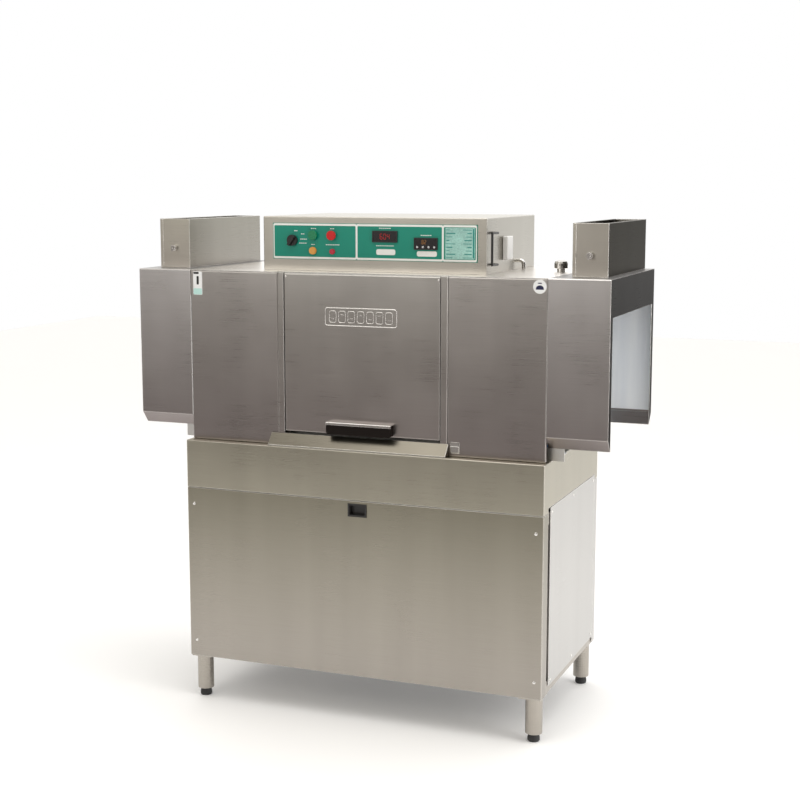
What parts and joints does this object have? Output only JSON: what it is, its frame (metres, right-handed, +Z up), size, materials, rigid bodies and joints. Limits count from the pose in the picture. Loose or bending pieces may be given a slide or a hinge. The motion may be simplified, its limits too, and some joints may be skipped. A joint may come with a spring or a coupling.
{
  "type": "rack conveyor dishwasher",
  "caption": "Stainless rack-conveyor dishwasher: legged cabinet with tank, wash tunnel with a rising door, end shrouds, vent cowls and a roof control box",
  "frame": {"origin": "floor level, under the middle of the machine's bounding box", "axes": "+X along the tunnel from entry to exit, -Y the front with the door, +Z up"},
  "size_m": [1.624, 0.674, 1.647],
  "materials": {
    "brushed_stainless": "brushed, fine grain, light wear",
    "polished_stainless": "polished",
    "galvanised": "dull zinc",
    "black_plastic": "moulded, matt",
    "green_overlay": "printed overlay, satin",
    "green_button": "moulded, gloss",
    "red_button": "moulded, gloss",
    "amber_lens": "moulded lens",
    "white_plastic": "moulded, satin",
    "pump_enamel": "enamelled casting",
    "curtain_vinyl": "flexible, translucent looking"
  },
  "bodies": {
    "machine": {"cabinet_frame": "brushed_stainless", "side_panel_left": "brushed_stainless", "side_panel_right": "brushed_stainless", "rear_panel": "brushed_stainless", "tank_band": "brushed_stainless", "wash_tank": "brushed_stainless", "hood_front_left": "brushed_stainless", "hood_front_right": "brushed_stainless", "hood_rear": "brushed_stainless", "hood_roof": "brushed_stainless", "drip_sill": "brushed_stainless", "entry_shroud": "brushed_stainless", "exit_shroud": "brushed_stainless", "vent_cowl_left": "brushed_stainless", "vent_cowl_right": "brushed_stainless", "control_box": "brushed_stainless", "rack_track": "brushed_stainless", "wash_manifold": "brushed_stainless", "scrap_tray": "brushed_stainless", "door_frame": "polished_stainless", "vacuum_breaker": "polished_stainless", "rinse_manifold": "polished_stainless", "drain_valve": "polished_stainless", "tank_heater": "polished_stainless", "temperature_display": "black_plastic", "rinse_controller": "black_plastic", "side_handle": "black_plastic", "control_fascia": "green_overlay", "fault_lamp": "red_button", "power_lamp": "amber_lens", "side_cover": "white_plastic", "wash_pump": "pump_enamel", "drive_gearmotor": "pump_enamel"},
    "foot_front_left": {"foot_front_left": "black_plastic"},
    "foot_front_right": {"foot_front_right": "black_plastic"},
    "foot_rear_left": {"foot_rear_left": "black_plastic"},
    "foot_rear_right": {"foot_rear_right": "black_plastic"},
    "front_cover": {"front_panel": "brushed_stainless", "panel_pull": "black_plastic"},
    "door": {"door_panel": "brushed_stainless", "door_handle": "black_plastic", "handle_lip": "polished_stainless"},
    "damper_left": {"damper_blade_left": "galvanised", "damper_knob_left": "polished_stainless"},
    "damper_right": {"damper_blade_right": "galvanised", "damper_knob_right": "polished_stainless"},
    "selector": {"selector_knob": "black_plastic"},
    "start": {"start_button": "green_button"},
    "stop": {"stop_button": "red_button"},
    "carriage": {"pawl_carriage": "brushed_stainless"},
    "pawl_one": {"pawl_1": "polished_stainless"},
    "pawl_two": {"pawl_2": "polished_stainless"},
    "pawl_three": {"pawl_3": "polished_stainless"},
    "crank": {"drive_crank": "polished_stainless"},
    "fan": {"motor_fan": "black_plastic"},
    "impeller": {"pump_impeller": "brushed_stainless"},
    "standpipe": {"overflow_standpipe": "polished_stainless"},
    "drain_handle": {"drain_lever": "red_button"},
    "entry_flap": {"entry_curtain": "curtain_vinyl"},
    "exit_flap": {"exit_curtain": "curtain_vinyl"}
  },
  "joints": [
    {"name": "foot_front_left_turn", "type": "hinge", "parent": "machine", "child": "foot_front_left", "pos_m": [-0.59, -0.295, 0.03], "axis": [0, 0, 1], "continuous": true},
    {"name": "foot_front_right_turn", "type": "hinge", "parent": "machine", "child": "foot_front_right", "pos_m": [0.59, -0.295, 0.03], "axis": [0, 0, 1], "continuous": true},
    {"name": "foot_rear_left_turn", "type": "hinge", "parent": "machine", "child": "foot_rear_left", "pos_m": [-0.59, 0.295, 0.03], "axis": [0, 0, 1], "continuous": true},
    {"name": "foot_rear_right_turn", "type": "hinge", "parent": "machine", "child": "foot_rear_right", "pos_m": [0.59, 0.295, 0.03], "axis": [0, 0, 1], "continuous": true},
    {"name": "front_cover_slide", "type": "slide", "parent": "machine", "child": "front_cover", "axis": [0, -1, 0], "range_m": [0, 0.25]},
    {"name": "door_slide", "type": "slide", "parent": "machine", "child": "door", "axis": [0, 0, 1], "range_m": [0, 0.38]},
    {"name": "damper_left_turn", "type": "hinge", "parent": "machine", "child": "damper_left", "pos_m": [-0.724, 0, 1.536], "axis": [0, 1, 0], "range_deg": [0, 90]},
    {"name": "damper_right_turn", "type": "hinge", "parent": "machine", "child": "damper_right", "pos_m": [0.724, 0, 1.536], "axis": [0, 1, 0], "range_deg": [0, 90]},
    {"name": "selector_turn", "type": "hinge", "parent": "machine", "child": "selector", "pos_m": [-0.279, -0.2125, 1.569], "axis": [0, 1, 0], "range_deg": [0, 90]},
    {"name": "start_press", "type": "slide", "parent": "machine", "child": "start", "axis": [0, 1, 0], "range_m": [0, 0.004], "stiffness_N_per_m": 500, "springref_m": -0.003},
    {"name": "stop_press", "type": "slide", "parent": "machine", "child": "stop", "axis": [0, 1, 0], "range_m": [0, 0.004], "stiffness_N_per_m": 500, "springref_m": -0.003},
    {"name": "carriage_slide", "type": "slide", "parent": "machine", "child": "carriage", "axis": [1, 0, 0], "range_m": [-0.05, 0.05]},
    {"name": "pawl_1_tip", "type": "hinge", "parent": "carriage", "child": "pawl_one", "pos_m": [-0.42, 0, 0.9155], "axis": [0, 1, 0], "range_deg": [0, 30], "stiffness_Nm_per_rad": 0.06, "springref_deg": -28.65},
    {"name": "pawl_2_tip", "type": "hinge", "parent": "carriage", "child": "pawl_two", "pos_m": [-0.11, 0, 0.9155], "axis": [0, 1, 0], "range_deg": [0, 30], "stiffness_Nm_per_rad": 0.06, "springref_deg": -28.65},
    {"name": "pawl_3_tip", "type": "hinge", "parent": "carriage", "child": "pawl_three", "pos_m": [0.2, 0, 0.9155], "axis": [0, 1, 0], "range_deg": [0, 30], "stiffness_Nm_per_rad": 0.06, "springref_deg": -28.65},
    {"name": "fan_turn", "type": "hinge", "parent": "machine", "child": "fan", "pos_m": [0.455, 0, 0.62], "axis": [0, 0, 1], "continuous": true},
    {"name": "crank_turn", "type": "hinge", "parent": "machine", "child": "crank", "pos_m": [0.455, 0, 0.9], "axis": [0, 0, 1], "continuous": true},
    {"name": "impeller_turn", "type": "hinge", "parent": "machine", "child": "impeller", "pos_m": [-0.19, 0, 0.33], "axis": [1, 0, 0], "continuous": true},
    {"name": "standpipe_lift", "type": "slide", "parent": "machine", "child": "standpipe", "axis": [0, 0, 1], "range_m": [0, 0.15]},
    {"name": "drain_lever_turn", "type": "hinge", "parent": "machine", "child": "drain_handle", "pos_m": [-0.45, 0.058, 0.53], "axis": [0, 1, 0], "range_deg": [0, 90]},
    {"name": "entry_curtain_swing", "type": "hinge", "parent": "machine", "child": "entry_flap", "pos_m": [-0.6, 0, 1.3645], "axis": [0, 1, 0], "range_deg": [-70, 70]},
    {"name": "exit_curtain_swing", "type": "hinge", "parent": "machine", "child": "exit_flap", "pos_m": [0.6, 0, 1.3645], "axis": [0, 1, 0], "range_deg": [-70, 70]}
  ],
  "couplings": [
    {"joint": "crank_turn", "follows": "fan_turn", "ratio": 0.05}
  ]
}
